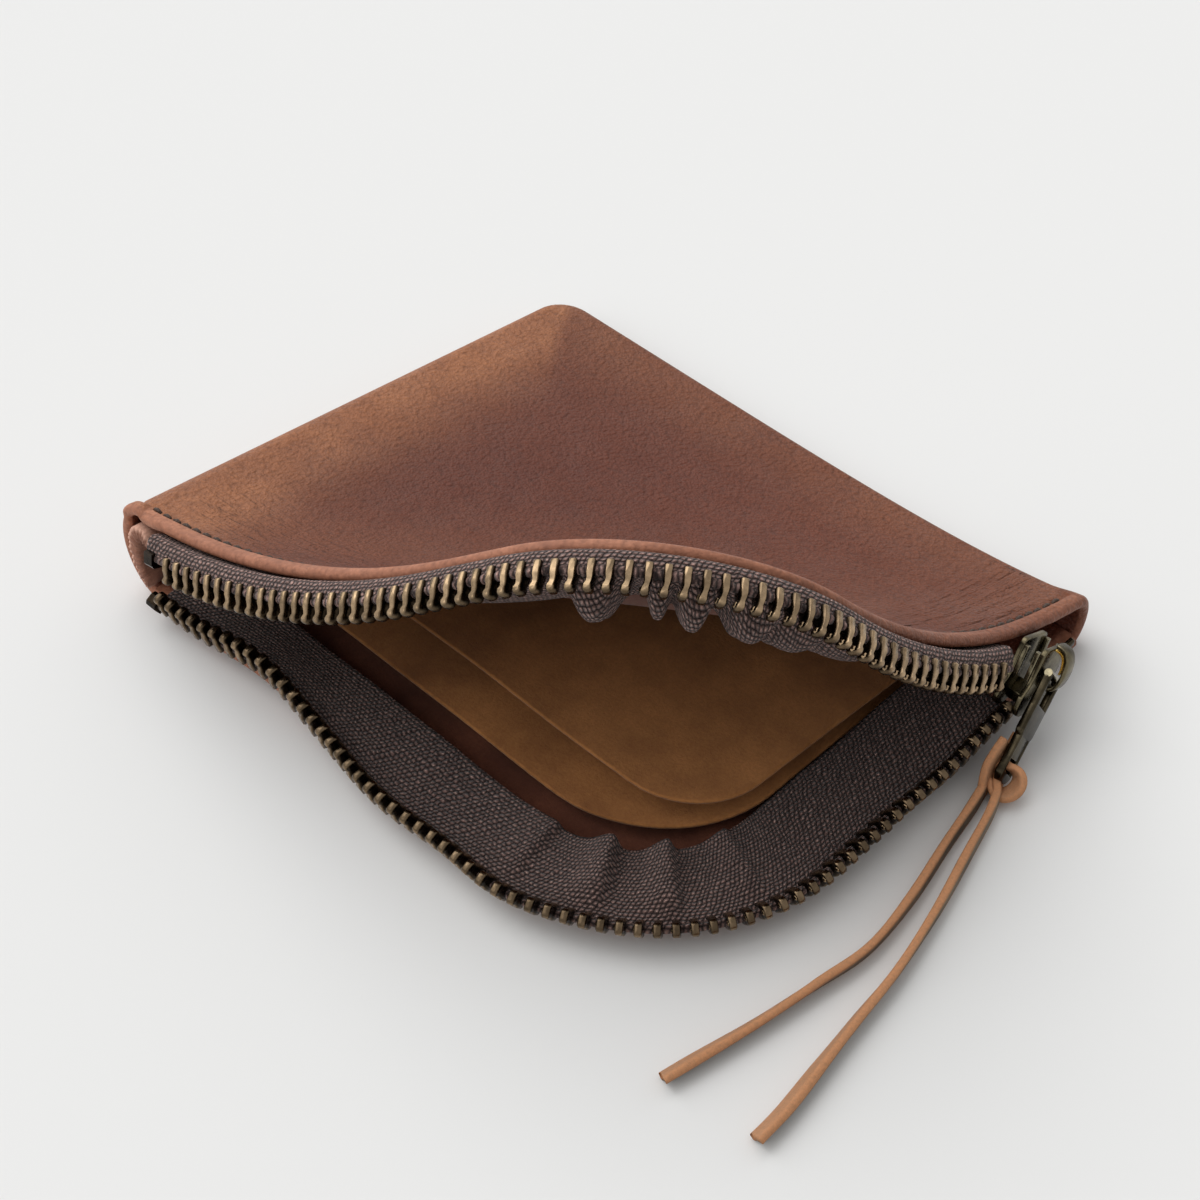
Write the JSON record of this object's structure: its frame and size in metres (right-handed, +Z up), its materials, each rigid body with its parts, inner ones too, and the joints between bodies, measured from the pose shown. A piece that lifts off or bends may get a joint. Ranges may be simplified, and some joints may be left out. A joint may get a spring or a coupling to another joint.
{
  "type": "zippered pouch",
  "caption": "Flat leather pouch with a metal zip round two sides and one rounded corner, lying open, with inner dividers, a slider with a hinged pull and a flat lace.",
  "frame": {"origin": "middle of the back panel's underside, on the table", "axes": "+X along the front mouth from the folded side to the rounded corner, +Y along the right mouth towards the back seam, +Z up"},
  "size_m": [0.1374, 0.1017, 0.0564],
  "materials": {
    "leather": "waxed pull-up leather",
    "suede": "rough flesh side",
    "tape": "woven",
    "teeth": "antique",
    "slider": "antique",
    "spring": "bright",
    "lace": "cut lace"
  },
  "bodies": {
    "pouch": {"back_panel": "leather", "fold_skin": "leather", "divider_lower": "suede", "divider_upper": "suede", "tape_lower": "tape", "teeth_lower": "teeth", "stop_lower": "teeth", "bottom_stop": "teeth"},
    "flap": {"front_flap": "leather", "tape_upper": "tape", "teeth_upper": "teeth", "stop_upper": "teeth"},
    "slider": {"slider_body": "slider", "slider_bail": "slider", "lock_spring": "spring"},
    "pull": {"pull_tab": "slider", "lace_hitch": "lace", "lace_tail_a": "lace", "lace_tail_b": "lace"}
  },
  "joints": [
    {"name": "slider_travel", "type": "slide", "parent": "pouch", "child": "slider", "axis": [0, -1, 0], "range_m": [0, 0.042], "deforming": ["tape_lower", "teeth_lower", "tape_upper", "teeth_upper"]},
    {"name": "mouth_fold", "type": "hinge", "parent": "pouch", "child": "flap", "pos_m": [-0.05096, -0.047, 0.02011], "axis": [0.7832, 0.6198, -0.0493], "range_deg": [0, 30], "deforming": ["tape_lower", "teeth_lower", "tape_upper", "teeth_upper"]},
    {"name": "pull_swing", "type": "hinge", "parent": "slider", "child": "pull", "pos_m": [0.06185, 0.02859, 0.01161], "axis": [0, -0.5592, 0.829], "range_deg": [0, 105]}
  ],
  "couplings": [
    {"joint": "mouth_fold", "follows": "slider_travel", "rad_per_m": 12.4}
  ]
}
